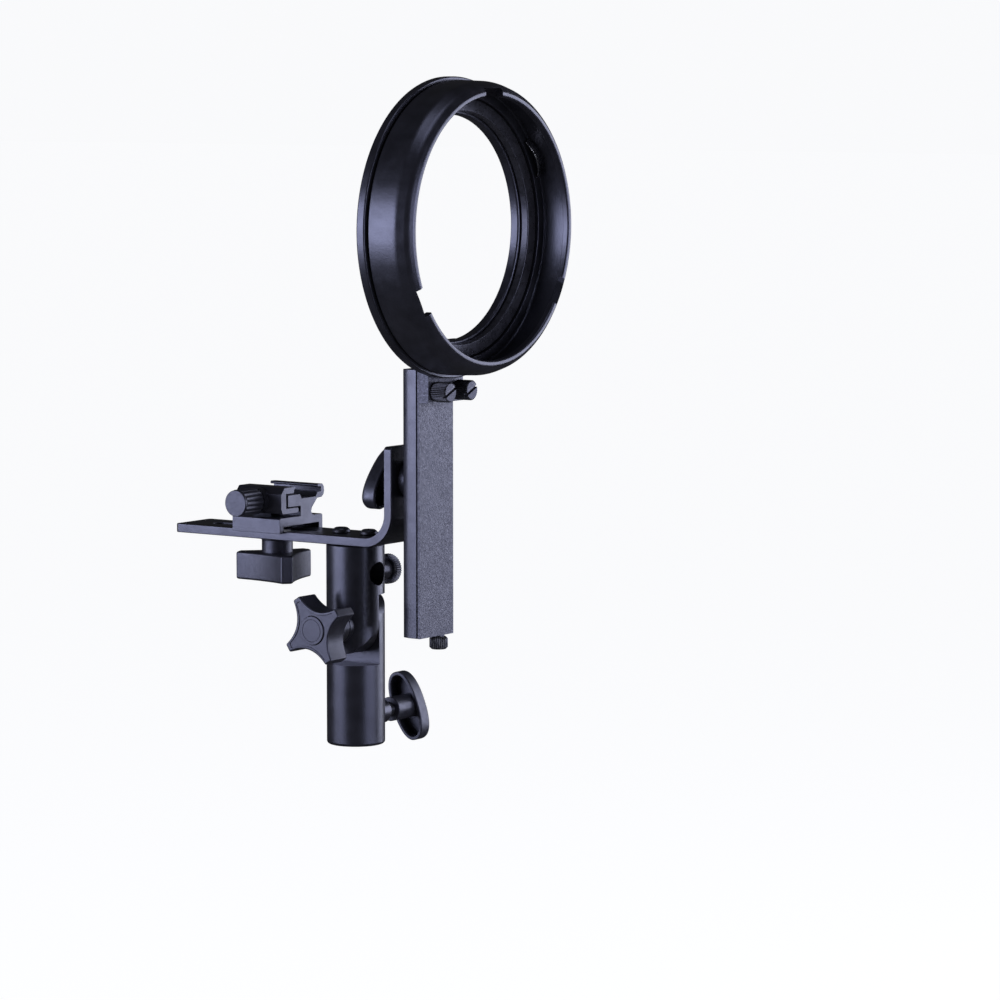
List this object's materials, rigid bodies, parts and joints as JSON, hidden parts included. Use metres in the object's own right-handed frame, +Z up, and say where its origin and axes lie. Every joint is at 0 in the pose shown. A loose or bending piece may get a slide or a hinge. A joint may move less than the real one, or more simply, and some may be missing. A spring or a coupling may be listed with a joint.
{
  "type": "umbrella swivel bracket",
  "caption": "Tilting light-stand bracket with an umbrella hole, an L-shaped plate with a clamping cold shoe, and a height-adjustable arm carrying an open bayonet ring.",
  "frame": {"origin": "centre of the stand socket's open lower end, on the tube's axis", "axes": "+Z up along the socket and tube, +X forwards along the ring's axis, -Y towards the star knob"},
  "size_m": [0.1687, 0.1308, 0.2998],
  "materials": {
    "coated_metal": "satin black powder coat",
    "textured_coat": "sandy-textured black powder coat",
    "anodised_aluminium": "satin black anodising",
    "black_plastic": "matte",
    "steel": "satin",
    "blackened_steel": "satin blackened steel"
  },
  "bodies": {
    "socket": {"stand_socket": "coated_metal"},
    "stand_lock": {"stand_lock_knob": "black_plastic", "stand_lock_screw": "blackened_steel"},
    "star": {"star_knob": "black_plastic", "star_knob_cap": "black_plastic", "hinge_bolt": "blackened_steel", "hinge_washer": "blackened_steel"},
    "swivel": {"umbrella_tube": "coated_metal", "l_plate": "coated_metal", "plate_screw_1": "blackened_steel", "plate_screw_2": "blackened_steel", "arm_spacer": "black_plastic", "arm_nut": "steel"},
    "umbrella_lock": {"umbrella_screw": "anodised_aluminium"},
    "shoe": {"shoe_base": "coated_metal", "shoe_bolt": "steel", "shoe_washer": "blackened_steel"},
    "shoe_lock": {"shoe_knob": "black_plastic"},
    "jaw": {"shoe_jaw": "coated_metal"},
    "jaw_lock": {"jaw_knob": "black_plastic", "jaw_screw": "steel"},
    "arm_lock": {"arm_lock_knob": "black_plastic", "arm_lock_screw": "blackened_steel"},
    "arm": {"arm_channel": "coated_metal", "arm_front_plate": "textured_coat", "ring_foot": "textured_coat", "ring_rear_plate": "coated_metal", "ring_dome": "coated_metal", "bayonet_ring": "anodised_aluminium", "leaf_spring_1": "steel", "leaf_spring_2": "steel", "leaf_spring_3": "steel", "ring_screw_1": "blackened_steel", "ring_screw_2": "blackened_steel", "ring_screw_3": "blackened_steel", "ring_screw_4": "blackened_steel", "foot_screw_1": "blackened_steel", "foot_screw_2": "blackened_steel"},
    "arm_stop": {"arm_stop_screw": "blackened_steel"},
    "thumb_1": {"thumb_screw_1": "blackened_steel"},
    "thumb_2": {"thumb_screw_2": "blackened_steel"}
  },
  "joints": [
    {"name": "tilt", "type": "hinge", "parent": "socket", "child": "swivel", "pos_m": [0, 0, 0.054], "axis": [0, 1, 0], "range_deg": [-90, 35]},
    {"name": "stand_lock_turn", "type": "hinge", "parent": "socket", "child": "stand_lock", "pos_m": [0, 0.04, 0.012], "axis": [0, 1, 0], "continuous": true},
    {"name": "star_turn", "type": "hinge", "parent": "swivel", "child": "star", "pos_m": [0, -0.03, 0.054], "axis": [0, 1, 0], "continuous": true},
    {"name": "umbrella_screw_turn", "type": "hinge", "parent": "swivel", "child": "umbrella_lock", "pos_m": [0, 0.025, 0.076], "axis": [0, 1, 0], "continuous": true},
    {"name": "shoe_slide", "type": "slide", "parent": "swivel", "child": "shoe", "axis": [1, 0, 0], "range_m": [-0.03, 0.01]},
    {"name": "shoe_knob_turn", "type": "hinge", "parent": "shoe", "child": "shoe_lock", "pos_m": [-0.044, 0, 0.078], "axis": [0, 0, 1], "continuous": true},
    {"name": "jaw_slide", "type": "slide", "parent": "shoe", "child": "jaw", "axis": [0, -1, 0], "range_m": [0, 0.003]},
    {"name": "jaw_knob_turn", "type": "hinge", "parent": "jaw", "child": "jaw_lock", "pos_m": [-0.044, -0.023, 0.1074], "axis": [0, -1, 0], "continuous": true},
    {"name": "arm_lock_turn", "type": "hinge", "parent": "swivel", "child": "arm_lock", "pos_m": [0.014, 0, 0.12], "axis": [1, 0, 0], "continuous": true},
    {"name": "arm_slide", "type": "slide", "parent": "swivel", "child": "arm", "axis": [0, 0, 1], "range_m": [-0.008, 0.05]},
    {"name": "stop_screw_turn", "type": "hinge", "parent": "arm", "child": "arm_stop", "pos_m": [0.0395, 0.0084, 0.047], "axis": [0, 0, 1], "continuous": true},
    {"name": "thumb_screw_1_turn", "type": "hinge", "parent": "arm", "child": "thumb_1", "pos_m": [0.053, -0.008, 0.16], "axis": [1, 0, 0], "continuous": true},
    {"name": "thumb_screw_2_turn", "type": "hinge", "parent": "arm", "child": "thumb_2", "pos_m": [0.053, 0.008, 0.16], "axis": [1, 0, 0], "continuous": true}
  ]
}
